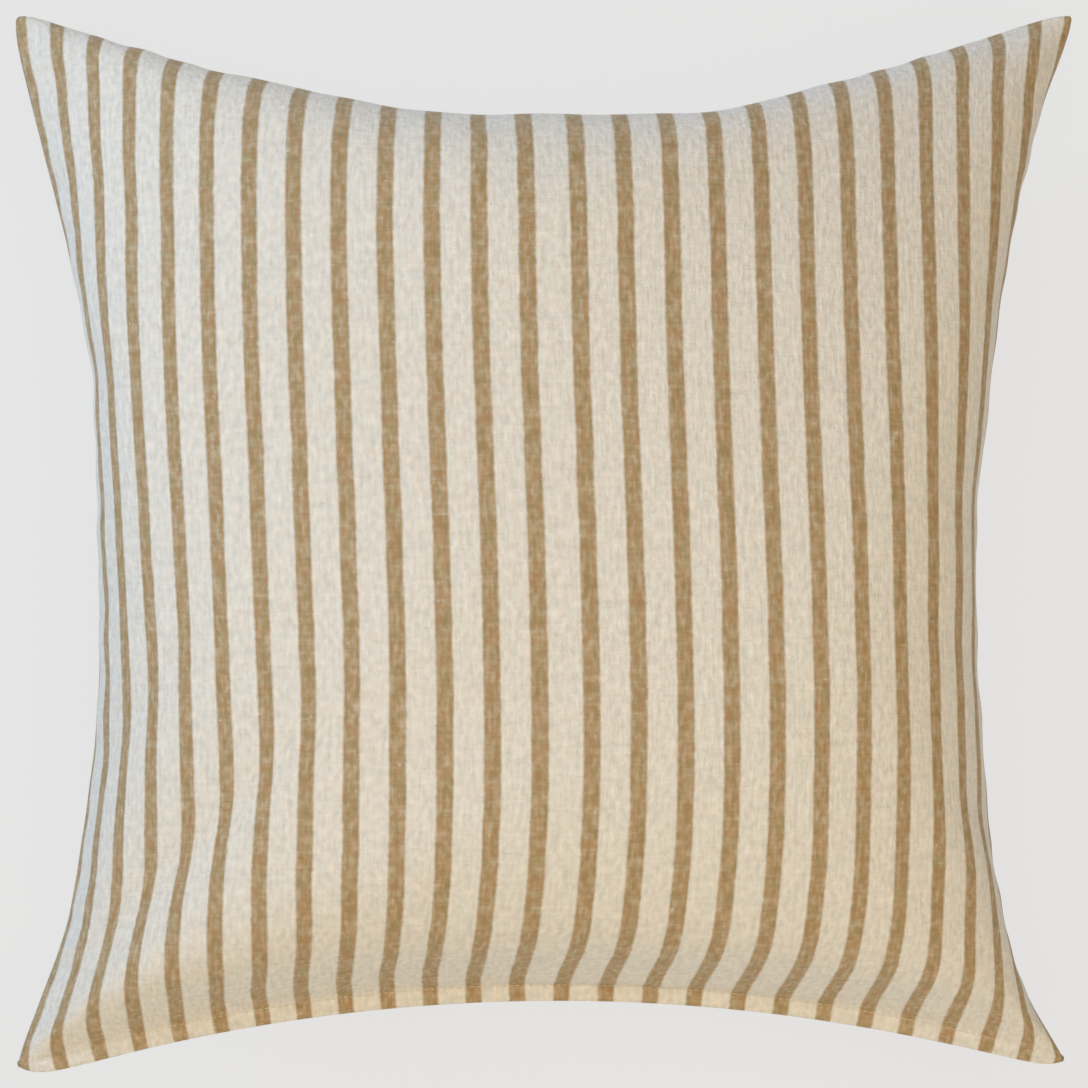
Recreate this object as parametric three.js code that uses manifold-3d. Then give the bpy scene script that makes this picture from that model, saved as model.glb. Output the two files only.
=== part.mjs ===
// A striped linen throw pillow: a zipped cover round a filled insert. Millimetres, +Z up.
// It lies on its back panel, with its top edge towards +Y and its zip edge towards -Y.
// The seam plane is level, half way up the stuffed pillow, and every edge draws in as a circular arc.
import * as THREE from "three";
import { mergeVertices } from "three/addons/utils/BufferGeometryUtils.js";
import Module from "manifold-3d";

const wasm = await Module();
wasm.setup();

// Outline of the stuffed cover
const cornerSpan = 491; // between neighbouring corners, before their tips are rounded
const sideInset = 45; // how far the middle of the left and right edges draws in
const topInset = 51.5;
const bottomInset = 38;
const cornerRadius = 6.5;

// Depth of the stuffed cover
const seamHeight = 86; // seam plane above the surface that the pillow lies on
const frontCrown = 98; // front face above the seam plane
const backBulge = 94; // the back would bulge this far below the seam plane, were it not lying down
const domeFlatness = 2.5; // 2 is an ellipse, more is flatter in the middle and steeper at the seams

// Cloth and thread
const clothThickness = 0.6;
const seamAllowance = 10;
const threadThickness = 0.4;
const threadWidth = 0.7;
const touchGap = 0.3; // between pieces that touch
const crownSlack = 2.5; // between one domed face and the next one inside it
const seamStitchInset = 0.9; // from the folded edge of a seam to its row of stitching
const stitchEndInset = 19.5; // from the corners to the ends of a row of stitching

// Zip, counted inwards from the folded edge of the front lap
const zipLength = 380; // along the chain, between its stops
const pullAxisDepth = 1.6;
const eyeHoleRadius = 0.8;
const eyeRadius = 1.4;
const eyeRunningGap = 0.4;
const sliderPlate = 0.8;
const sliderLength = 9;
const sliderHalfWidth = 2.5;
const sliderTailHalfWidth = 1.9;
const sliderShoulder = 1; // from the corners of its nose to its tip
const sliderPost = 0.6;
const sliderPostLength = 3;
const sliderPostForward = 1; // towards the nose
const castingGrip = 0.05; // each piece of the slider runs this far into the next
const bailThickness = 0.7;
const bailLength = 6;
const coilThickness = 1.6;
const coilWidth = 1.6;
const tapeThickness = 0.4;
const tapeDepth = 15; // inner edge of the tapes
const tapePastStops = 12;
const stopLength = 3;
const stopClearance = 0.5; // between the slider and a stop
const backLipDepth = 3.2; // the front lap reaches this far past the fold of the back lip
const lipUnion = 1; // a lip runs this far into its panel
const tipMargin = 0.5; // the round tips are cut by an outline this far outside the edges
const chainOverrun = 2; // the space for the zip runs this far past the tapes
const pullLength = 22;
const pullWidth = 4.6;
const pullNeckWidth = 2.2;
const pullThickness = 1;
const pullHoleRadius = 1.1;
const eyeWidth = 1.2;

// Insert
const insertInset = 16; // from the cover's seams to the insert's seams
const casingThickness = 0.4;
const casingAllowance = 8;
const casingThread = 0.3;
const closingHalfLength = 70; // half the length of the seam that closed the insert
const fillingInset = 1.5; // from the casing's allowance to the filling's rim
const insertCornerRadius = 18;

// Steps along curves
const coverSteps = 18;
const insertSteps = 12;
const chainSteps = 24;
const seamSteps = 18;
const closedSeamSteps = 4;
const outlineSteps = 6;
const roundSteps = 20;
const meetingGap = 1e-3; // two arcs that meet share one point

// Values that follow from those above
const half = cornerSpan / 2;
const seamHalfGap = touchGap + threadThickness / 2;
const coilStart = pullAxisDepth + eyeRadius + eyeRunningGap + sliderPlate + touchGap;
const coilEnd = coilStart + coilThickness;
const outerPlateStart = coilStart - touchGap - sliderPlate;
const innerPlateStart = coilEnd + touchGap;
const innerPlateEnd = innerPlateStart + sliderPlate;
const lapStitchStart = innerPlateEnd + touchGap;
const lapDepth = lapStitchStart + threadWidth + touchGap;
const coilInnerSide = sliderPost / 2 + touchGap;
const coilOuterSide = coilInnerSide + coilWidth;
const tapeFootStart = coilOuterSide + touchGap;
const tapeStart = Math.max(tapeFootStart, sliderHalfWidth) + touchGap;
const tapeEnd = tapeStart + tapeThickness;
const lipStart = tapeEnd + touchGap;
const lipThickness = 2 * clothThickness;
const lipEnd = lipStart + lipThickness;
const zipSpaceDepth = Math.max(tapeDepth, lapDepth + seamAllowance) + touchGap;

// Each edge is an arc about a centre outside the pillow, and depth is counted inwards from the arc.
function edgeArc(inset, facing) {
  const radius = (half * half + inset * inset) / (2 * inset);
  const distance = half - inset + radius;
  const centre = new THREE.Vector2(-Math.cos(facing), -Math.sin(facing)).multiplyScalar(distance);
  return { radius, distance, facing, centre };
}
const topEdge = edgeArc(topInset, -Math.PI / 2);
const bottomEdge = edgeArc(bottomInset, Math.PI / 2);
const leftEdge = edgeArc(sideInset, 0);
const rightEdge = edgeArc(sideInset, Math.PI);

const arcReach = (edge, depth, along) =>
  edge.distance - Math.sqrt((edge.radius + depth) ** 2 - along * along);
const zipRadius = bottomEdge.radius + (coilStart + coilEnd) / 2;
const chainAngle = (length) => length / zipRadius;
const edgeAngle = (edge, along) => Math.asin(along / edge.radius);

function toSolid(geometry) {
  const bare = geometry.clone();
  bare.deleteAttribute("normal");
  bare.deleteAttribute("uv");
  const merged = mergeVertices(bare, 1e-4);
  return new wasm.Manifold(
    new wasm.Mesh({
      numProp: 3,
      vertProperties: new Float32Array(merged.attributes.position.array),
      triVerts: new Uint32Array(merged.index.array),
    }),
  );
}

function toGeometry(solid) {
  const mesh = solid.getMesh();
  const geometry = new THREE.BufferGeometry();
  geometry.setAttribute("position", new THREE.BufferAttribute(mesh.vertProperties, 3));
  geometry.setIndex(new THREE.BufferAttribute(mesh.triVerts, 1));
  const flat = geometry.toNonIndexed();
  flat.computeVertexNormals();
  return flat;
}

function surface(points, triangles) {
  const geometry = new THREE.BufferGeometry();
  const positions = points.flatMap((p) => [p.x, p.y, p.z]);
  geometry.setAttribute("position", new THREE.Float32BufferAttribute(positions, 3));
  geometry.setIndex(triangles);
  return geometry;
}

// The cover's plan shape at some depth inside each edge, with round tips between the four arcs.
function outline(depths, tipRadius) {
  const edges = [
    [rightEdge, depths.side],
    [topEdge, depths.top],
    [leftEdge, depths.side],
    [bottomEdge, depths.bottom],
  ];
  const tips = edges.map(([edge, depth], i) => {
    const [next, nextDepth] = edges[(i + 1) % edges.length];
    const first = edge.radius + depth + tipRadius;
    const second = next.radius + nextDepth + tipRadius;
    const between = next.centre.clone().sub(edge.centre);
    const span = between.length();
    const foot = (span * span + first * first - second * second) / (2 * span);
    const side = Math.sqrt(first * first - foot * foot);
    between.normalize();
    return new THREE.Vector2(
      edge.centre.x + between.x * foot - between.y * side,
      edge.centre.y + between.y * foot + between.x * side,
    );
  });
  const shape = new THREE.Shape();
  edges.forEach(([edge, depth], i) => {
    const before = tips[(i + edges.length - 1) % edges.length].clone().sub(edge.centre);
    const after = tips[i].clone().sub(edge.centre);
    const next = edges[(i + 1) % edges.length][0];
    const turned = tips[i].clone().sub(next.centre);
    shape.absarc(edge.centre.x, edge.centre.y, edge.radius + depth, before.angle(), after.angle(), true);
    const tipFrom = after.clone().negate().angle();
    const tipTo = turned.clone().negate().angle();
    shape.absarc(tips[i].x, tips[i].y, tipRadius, tipFrom, tipTo, false);
  });
  const points = shape.getPoints(outlineSteps);
  const apart = points.filter((p, i) => p.distanceTo(points[(i + 1) % points.length]) > meetingGap);
  return new THREE.Shape(apart);
}

function prism(shape, from, to) {
  const geometry = new THREE.ExtrudeGeometry(shape, { depth: to - from, bevelEnabled: false });
  geometry.translate(0, 0, from);
  return toSolid(geometry);
}

const upright = (shape) => prism(shape, -lipUnion, seamHeight + frontCrown + lipUnion);

const deeper = (depths, by) => ({
  side: depths.side + by,
  top: depths.top + by,
  bottom: depths.bottom + by,
});

// A closed lens over the plan shape: it rises to its crown above the middle plane and sinks below it.
function lens(depths, middle, rise, fall, floor, steps) {
  const stations = Array.from({ length: steps + 1 }, (_, i) => Math.sin(Math.PI * (i / steps - 0.5)));
  const ridge = (t) => Math.sqrt(Math.max(0, 1 - Math.abs(t) ** domeFlatness));
  const bottomHalf = half - depths.bottom;
  const topHalf = half - depths.top;
  const sideHalf = half - depths.side;
  const points = [];
  for (const sign of [1, -1]) {
    for (const v of stations) {
      for (const u of stations) {
        const [edge, depth, reach] =
          v < 0 ? [bottomEdge, depths.bottom, bottomHalf] : [topEdge, depths.top, topHalf];
        const x = u * arcReach(leftEdge, depths.side, v * reach);
        const y = v * arcReach(edge, depth, u * sideHalf);
        const swell = ridge(u) * ridge(v);
        const z = sign > 0 ? middle + rise * swell : middle - fall * swell;
        points.push(new THREE.Vector3(x, y, Math.max(z, floor)));
      }
    }
  }
  const row = steps + 1;
  const rim = (i, j) => i === 0 || j === 0 || i === steps || j === steps;
  const lower = (i, j) => (rim(i, j) ? 0 : row * row) + j * row + i;
  const upper = (i, j) => j * row + i;
  const triangles = [];
  for (let j = 0; j < steps; j++) {
    for (let i = 0; i < steps; i++) {
      triangles.push(upper(i, j), upper(i + 1, j), upper(i + 1, j + 1));
      triangles.push(upper(i, j), upper(i + 1, j + 1), upper(i, j + 1));
      triangles.push(lower(i, j), lower(i + 1, j + 1), lower(i + 1, j));
      triangles.push(lower(i, j), lower(i, j + 1), lower(i + 1, j + 1));
    }
  }
  return toSolid(surface(points, triangles));
}

// A section of [depth, height] corners swept along an edge. Heights are from the seam plane, and
// sectionAt may change them with the angle.
function sweep(edge, from, to, steps, sectionAt) {
  const count = sectionAt(from).length;
  const points = [];
  for (let i = 0; i <= steps; i++) {
    const angle = from + ((to - from) * i) / steps;
    const turn = edge.facing - angle;
    for (const [depth, height] of sectionAt(angle)) {
      points.push(
        new THREE.Vector3(
          edge.centre.x + (edge.radius + depth) * Math.cos(turn),
          edge.centre.y + (edge.radius + depth) * Math.sin(turn),
          seamHeight + height,
        ),
      );
    }
  }
  const corners = sectionAt(from).map(([depth, height]) => new THREE.Vector2(depth, height));
  const clockwise = THREE.ShapeUtils.isClockWise(corners);
  const triangles = [];
  const add = (a, b, c) => triangles.push(...(clockwise ? [a, c, b] : [a, b, c]));
  for (let i = 0; i < steps; i++) {
    for (let k = 0; k < count; k++) {
      const a = i * count + k;
      const b = i * count + ((k + 1) % count);
      add(a, b, b + count);
      add(a, b + count, a + count);
    }
  }
  const end = steps * count;
  for (const [a, b, c] of THREE.ShapeUtils.triangulateShape(corners, [])) {
    triangles.push(a, c, b);
    triangles.push(end + a, end + b, end + c);
  }
  return toSolid(surface(points, triangles));
}

const block = (fromDepth, toDepth, fromHeight, toHeight) => [
  [fromDepth, fromHeight],
  [toDepth, fromHeight],
  [toDepth, toHeight],
  [fromDepth, toHeight],
];
const mirrored = (section) => section.map(([depth, height]) => [depth, -height]);
const bothSides = { front: 1, back: -1 };
const onSide = (side, section) => (side > 0 ? section : mirrored(section));

// Cloth drawn over one half of a lens, with a level allowance turned inwards round its rim.
function clothShell(side, depths, swell, halfGap, cloth, allowance, floor, tip, steps) {
  const rim = seamHeight + side * halfGap;
  const rise = side > 0 ? swell - halfGap : 0;
  const fall = side > 0 ? 0 : swell - halfGap;
  const outer = lens(depths, rim, rise, fall, floor, steps);
  const inner = lens(deeper(depths, cloth), rim, rise, fall, floor, steps)
    .translate([0, 0, -side * cloth])
    .trimByPlane([0, 0, side], side * (rim + side * cloth));
  const mouth = prism(outline(deeper(depths, allowance), tip), rim - 2 * cloth, rim + 2 * cloth);
  return outer.subtract(inner).subtract(mouth);
}

const coverDepths = { side: 0, top: 0, bottom: lapDepth };
const tapeAngle = chainAngle(zipLength / 2 + stopLength + tapePastStops);
const zipSpaceAngle = tapeAngle + chainAngle(chainOverrun);
const cornerAngle = edgeAngle(bottomEdge, half);

// A lip folds the cloth double along the whole zip edge and thins out towards the corners.
function lip(side, foldDepth) {
  const rampFrom = zipSpaceAngle;
  const thinEnd = seamHalfGap + lipThickness;
  const section = (angle) => {
    const away = THREE.MathUtils.clamp((Math.abs(angle) - rampFrom) / (cornerAngle - rampFrom), 0, 1);
    const top = THREE.MathUtils.lerp(lipEnd, thinEnd, away);
    return onSide(side, block(foldDepth, lapDepth + lipUnion, seamHalfGap, top));
  };
  return sweep(bottomEdge, -cornerAngle, cornerAngle, chainSteps, section);
}

function coverPanel(side) {
  const foldDepth = side > 0 ? 0 : backLipDepth;
  const swell = side > 0 ? frontCrown : backBulge;
  const shell = clothShell(
    side, coverDepths, swell, seamHalfGap, clothThickness, seamAllowance, 0, cornerRadius, coverSteps,
  );
  const zipSpace = sweep(bottomEdge, -zipSpaceAngle, zipSpaceAngle, chainSteps, () =>
    onSide(side, block(-lipUnion, zipSpaceDepth, -lipUnion, lipStart)),
  );
  const edges = outline({ side: -tipMargin, top: -tipMargin, bottom: foldDepth - tipMargin }, cornerRadius);
  return shell.add(lip(side, foldDepth)).intersect(upright(edges)).subtract(zipSpace);
}

// Rows of stitching on the cover
function seamStitching(edge, from, to) {
  const row = block(
    seamStitchInset, seamStitchInset + threadWidth, -threadThickness / 2, threadThickness / 2,
  );
  return sweep(edge, from, to, seamSteps, () => row);
}

function closedSeamStitching(sign) {
  const from = zipSpaceAngle + chainAngle(stopLength);
  const to = edgeAngle(bottomEdge, half - stitchEndInset);
  const row = block(
    lapStitchStart, lapStitchStart + threadWidth, -threadThickness / 2, threadThickness / 2,
  );
  const [start, end] = sign > 0 ? [from, to] : [-to, -from];
  return sweep(bottomEdge, start, end, closedSeamSteps, () => row);
}

function zipStitching(side) {
  const from = lipEnd + touchGap;
  const row = block(lapStitchStart, lapStitchStart + threadWidth, from, from + threadThickness);
  return sweep(bottomEdge, -tapeAngle, tapeAngle, chainSteps, () => onSide(side, row));
}

// Zip
function zipTape(side) {
  const foot = (coilStart + coilEnd - tapeThickness) / 2;
  const section = [
    [foot, tapeFootStart],
    [foot + tapeThickness, tapeFootStart],
    [foot + tapeThickness, tapeStart],
    [tapeDepth, tapeStart],
    [tapeDepth, tapeEnd],
    [foot, tapeEnd],
  ];
  return sweep(bottomEdge, -tapeAngle, tapeAngle, chainSteps, () => onSide(side, section));
}

function zipCoil(side) {
  const angle = chainAngle(zipLength / 2 - touchGap);
  const section = block(coilStart, coilEnd, coilInnerSide, coilOuterSide);
  return sweep(bottomEdge, -angle, angle, chainSteps, () => onSide(side, section));
}

const stopFrom = chainAngle(zipLength / 2);
const stopTo = chainAngle(zipLength / 2 + stopLength);
const stopOverhang = coilStart - outerPlateStart;

function topStop(side) {
  const section = block(coilStart - stopOverhang, coilEnd + stopOverhang, coilInnerSide, coilOuterSide);
  return sweep(bottomEdge, stopFrom, stopTo, 1, () => onSide(side, section));
}

function bottomStop() {
  const section = block(coilStart - stopOverhang, coilEnd + stopOverhang, -coilOuterSide, coilOuterSide);
  return sweep(bottomEdge, -stopTo, -stopFrom, 1, () => section);
}

// The slider stands in its own frame: X along the zip towards its closed end, Y inwards, Z up.
const placedIn = (geometry, matrix) => toSolid(geometry).transform(matrix.elements);
const standUp = new THREE.Matrix4().makeRotationX(Math.PI / 2);

function sliderPlateAt(depth) {
  const shape = new THREE.Shape();
  const nose = sliderLength / 2;
  shape.moveTo(-nose, -sliderTailHalfWidth);
  shape.lineTo(0, -sliderHalfWidth);
  shape.lineTo(nose - sliderShoulder, -sliderHalfWidth);
  shape.quadraticCurveTo(nose + sliderShoulder, 0, nose - sliderShoulder, sliderHalfWidth);
  shape.lineTo(0, sliderHalfWidth);
  shape.lineTo(-nose, sliderTailHalfWidth);
  shape.closePath();
  const plate = new THREE.ExtrudeGeometry(shape, {
    depth: sliderPlate,
    bevelEnabled: false,
    curveSegments: roundSteps / 4,
  });
  const place = new THREE.Matrix4().makeTranslation(0, depth + sliderPlate, 0).multiply(standUp);
  return placedIn(plate, place);
}

function slider() {
  const postDepth = innerPlateStart - outerPlateStart - sliderPlate + 2 * castingGrip;
  const post = new THREE.BoxGeometry(sliderPostLength, postDepth, sliderPost);
  const postAt = new THREE.Matrix4().makeTranslation(sliderPostForward, (coilStart + coilEnd) / 2, 0);
  const bailOuter = pullAxisDepth - bailThickness / 2;
  const bailInner = pullAxisDepth + bailThickness / 2;
  const bailEnd = outerPlateStart + castingGrip;
  const reach = bailLength / 2;
  const arch = new THREE.Shape();
  arch.moveTo(-reach, bailEnd);
  arch.lineTo(-reach, bailOuter + bailThickness);
  arch.lineTo(-reach + bailThickness, bailOuter);
  arch.lineTo(reach - bailThickness, bailOuter);
  arch.lineTo(reach, bailOuter + bailThickness);
  arch.lineTo(reach, bailEnd);
  arch.lineTo(reach - bailThickness, bailEnd);
  arch.lineTo(reach - bailThickness, bailInner);
  arch.lineTo(-reach + bailThickness, bailInner);
  arch.lineTo(-reach + bailThickness, bailEnd);
  arch.closePath();
  const bail = new THREE.ExtrudeGeometry(arch, { depth: bailThickness, bevelEnabled: false });
  bail.translate(0, 0, -bailThickness / 2);
  return sliderPlateAt(outerPlateStart)
    .add(sliderPlateAt(innerPlateStart))
    .add(placedIn(post, postAt))
    .add(toSolid(bail));
}

// The pull hangs from its eye, which loops round the bail.
function pull() {
  const eye = new THREE.Shape();
  eye.absarc(0, 0, eyeRadius, 0, 2 * Math.PI, false);
  const hole = new THREE.Path();
  hole.absarc(0, 0, eyeHoleRadius, 0, 2 * Math.PI, true);
  eye.holes.push(hole);
  const ring = new THREE.ExtrudeGeometry(eye, {
    depth: eyeWidth,
    bevelEnabled: false,
    curveSegments: roundSteps / 2,
  });
  ring.translate(0, 0, -eyeWidth / 2);
  const tab = new THREE.Shape();
  const top = -(eyeRadius + eyeHoleRadius) / 2;
  const shoulder = top - pullWidth / 2;
  const tipCentre = -pullLength + pullWidth / 2;
  tab.moveTo(-pullNeckWidth / 2, top);
  tab.lineTo(-pullWidth / 2, shoulder);
  tab.lineTo(-pullWidth / 2, tipCentre);
  tab.absarc(0, tipCentre, pullWidth / 2, Math.PI, 2 * Math.PI, false);
  tab.lineTo(pullWidth / 2, shoulder);
  tab.lineTo(pullNeckWidth / 2, top);
  tab.closePath();
  const tabHole = new THREE.Path();
  tabHole.absarc(0, tipCentre, pullHoleRadius, 0, 2 * Math.PI, true);
  tab.holes.push(tabHole);
  const plate = new THREE.ExtrudeGeometry(tab, {
    depth: pullThickness,
    bevelEnabled: false,
    curveSegments: roundSteps / 4,
  });
  const ringTurn = new THREE.Matrix4().makeRotationY(Math.PI / 2);
  const plateTurn = new THREE.Matrix4().makeTranslation(0, pullThickness / 2, 0).multiply(standUp);
  return placedIn(ring, ringTurn).add(placedIn(plate, plateTurn));
}

// Insert
const insertDepths = {
  side: insertInset,
  top: insertInset,
  bottom: lapDepth + insertInset,
};
const underCover = clothThickness + touchGap;
const casingHalfGap = touchGap + casingThread / 2;

function casingPanel(side) {
  const swell = (side > 0 ? frontCrown : backBulge) - clothThickness - crownSlack;
  const shell = clothShell(
    side, insertDepths, swell, casingHalfGap, casingThickness, casingAllowance, underCover,
    insertCornerRadius, insertSteps,
  );
  return shell.intersect(upright(outline(deeper(insertDepths, -tipMargin), insertCornerRadius)));
}

function filling() {
  const depths = deeper(insertDepths, casingAllowance + fillingInset);
  const under = clothThickness + casingThickness + 2 * crownSlack;
  const floor = underCover + casingThickness + touchGap;
  const fibre = lens(depths, seamHeight, frontCrown - under, backBulge - under, floor, insertSteps);
  return fibre.intersect(upright(outline(deeper(depths, -tipMargin), insertCornerRadius)));
}

function insertSeams() {
  const ring = (by) => outline(deeper(insertDepths, by), insertCornerRadius);
  const from = seamHeight - casingThread / 2;
  const to = seamHeight + casingThread / 2;
  const wholeRing = prism(ring(seamStitchInset), from, to)
    .subtract(upright(ring(seamStitchInset + threadWidth)));
  const closing = new THREE.BoxGeometry(2 * closingHalfLength, half, half);
  closing.translate(0, -half, seamHeight);
  const opening = new THREE.BoxGeometry(2 * (closingHalfLength + touchGap), half, half);
  opening.translate(0, -half, seamHeight);
  return {
    sewn: wholeRing.subtract(toSolid(opening)),
    closed: wholeRing.intersect(toSolid(closing)),
  };
}

// Materials
const finish = (name, color, roughness, metalness) =>
  new THREE.MeshStandardMaterial({ name, color, roughness, metalness });
const linen = () => finish("striped linen", "#d9d1c0", 0.92, 0);
const linenThread = () => finish("cream thread", "#ded6c4", 0.85, 0);
const tapeWeave = () => finish("zip tape", "#d2c7b0", 0.88, 0);
const coilPlastic = () => finish("zip coil", "#cfc4ac", 0.45, 0);
const zipMetal = () => finish("zip metal", "#b9a36f", 0.35, 1);
const casingCloth = () => finish("casing cloth", "#f1efea", 0.9, 0);
const fibre = () => finish("fibre filling", "#f7f6f2", 0.95, 0);

function named(name, solid, material) {
  const mesh = new THREE.Mesh(toGeometry(solid), material);
  mesh.name = name;
  return mesh;
}

const pillow = new THREE.Group();
const cover = new THREE.Group();
cover.add(named("cover_front_panel", coverPanel(1), linen()));
cover.add(named("cover_back_panel", coverPanel(-1), linen()));
const seamEnds = (edge) => edgeAngle(edge, half - stitchEndInset);
for (const [name, edge] of [["top", topEdge], ["left", leftEdge], ["right", rightEdge]]) {
  const solid = seamStitching(edge, -seamEnds(edge), seamEnds(edge));
  cover.add(named(`${name}_seam_stitching`, solid, linenThread()));
}
cover.add(named("bottom_left_seam_stitching", closedSeamStitching(-1), linenThread()));
cover.add(named("bottom_right_seam_stitching", closedSeamStitching(1), linenThread()));

const zip = new THREE.Group();
for (const [name, side] of Object.entries(bothSides)) {
  zip.add(named(`zipper_tape_${name}`, zipTape(side), tapeWeave()));
  zip.add(named(`zipper_coil_${name}`, zipCoil(side), coilPlastic()));
  zip.add(named(`zipper_top_stop_${name}`, topStop(side), zipMetal()));
  zip.add(named(`zipper_stitching_${name}`, zipStitching(side), linenThread()));
}
zip.add(named("zipper_bottom_stop", bottomStop(), zipMetal()));

// The slider rests at the closed end. It turns about the centre of the zip's arc as it runs along it.
const closedAngle = chainAngle(zipLength / 2 - stopClearance - sliderLength / 2);
const carriage = new THREE.Group();
carriage.position.set(bottomEdge.centre.x, bottomEdge.centre.y, seamHeight);
carriage.rotation.z = -closedAngle;
const sliderMesh = named("zipper_slider", slider(), zipMetal());
sliderMesh.position.y = bottomEdge.radius;
const pullMesh = named("zipper_pull", pull(), zipMetal());
pullMesh.position.y = bottomEdge.radius + pullAxisDepth;
carriage.add(sliderMesh, pullMesh);
zip.add(carriage);

const insert = new THREE.Group();
const { sewn, closed } = insertSeams();
insert.add(named("insert_casing_front", casingPanel(1), casingCloth()));
insert.add(named("insert_casing_back", casingPanel(-1), casingCloth()));
insert.add(named("insert_seam_stitching", sewn, linenThread()));
insert.add(named("insert_closing_stitching", closed, linenThread()));
insert.add(named("insert_filling", filling(), fibre()));

pillow.add(cover, zip, insert);
export default pillow;
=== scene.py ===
import math
import bpy
import numpy as np
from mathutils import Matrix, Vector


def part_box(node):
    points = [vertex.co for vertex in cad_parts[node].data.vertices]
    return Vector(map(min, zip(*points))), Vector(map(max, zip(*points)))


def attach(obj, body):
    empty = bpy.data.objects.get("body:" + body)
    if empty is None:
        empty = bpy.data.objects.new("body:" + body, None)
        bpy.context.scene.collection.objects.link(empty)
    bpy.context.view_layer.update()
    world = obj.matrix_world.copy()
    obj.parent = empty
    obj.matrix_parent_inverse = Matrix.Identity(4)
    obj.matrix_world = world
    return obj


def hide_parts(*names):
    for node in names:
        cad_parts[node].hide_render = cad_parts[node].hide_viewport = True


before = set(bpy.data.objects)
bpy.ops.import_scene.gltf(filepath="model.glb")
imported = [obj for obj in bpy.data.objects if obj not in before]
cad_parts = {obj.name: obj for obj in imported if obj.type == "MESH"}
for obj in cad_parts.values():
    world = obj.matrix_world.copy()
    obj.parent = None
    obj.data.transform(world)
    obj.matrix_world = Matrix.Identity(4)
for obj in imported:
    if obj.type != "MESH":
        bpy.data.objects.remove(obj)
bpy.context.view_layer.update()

# ------------------------------------------------------------------ cover, front panel
# One square of striped plain-weave linen, 508 mm between its seam lines. The stripes are dyed into
# the warp and run up the cloth. It is sewn on three sides, its bottom edge is folded into the lap
# that hides the zip, and the insert swells it out and draws its four edges in.
panel_size = 0.508
panel_cells = 96
seam_height = 0.086
cloth_thickness = 0.0006
seam_gap = 0.0008
corner_softness = 0.0050
corner_pinch = 0.0145
drawn_half = panel_size / 2 - corner_pinch
turned_depths = (0.0035, 0.007, 0.010)
zip_arc_radius = 0.81203
zip_arc_centre = -1.01953
lap_depth = 0.0085
lip_rise = 0.0033
lap_ply = 0.00065


def soft_ramp(x, start, softness):
    """Nothing before start and one for one after it, with the bend rounded over softness."""
    return softness * np.logaddexp(0, (x - start) / softness)


def along_zip(distance, inset):
    """The point that far along the zip's arc from its middle, and that far inside the arc."""
    angle = distance / zip_arc_radius
    radius = zip_arc_radius + inset
    return radius * np.sin(angle), zip_arc_centre + radius * np.cos(angle)


def pinched(s):
    """Where a point at share s of an edge, -1 to 1, is along the edge: the ends are eased in."""
    return s * panel_size / 2 - np.sign(s) * corner_pinch * np.abs(s) ** 3


def gathered(s):
    """The same along the top and bottom edges, whose left half is pushed to the right by hand."""
    return pinched(s) + 0.0033 * (s < 0) * (1 - s**8) * (1 - np.exp(-((s / 0.3) ** 2)))


def zip_run(s):
    """How far along the zip's arc a point at share s of the bottom edge lies."""
    return gathered(s) - 0.003 * (1 - s**2)


def lap_share(s):
    """The lap's depth as a share of its full depth: it narrows to half at both ends."""
    return 1 - 0.5 * np.abs(s) ** 10


def lifted(s):
    """How far the bottom edge's left end is turned up past the zip's arc."""
    return 0.0042 * np.exp(-(1 + s) / 0.05)


def closing(s):
    """One along the zip, falling to nothing at both ends of the bottom edge, where it is sewn shut."""
    return 1 - np.abs(s) ** 14


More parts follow.
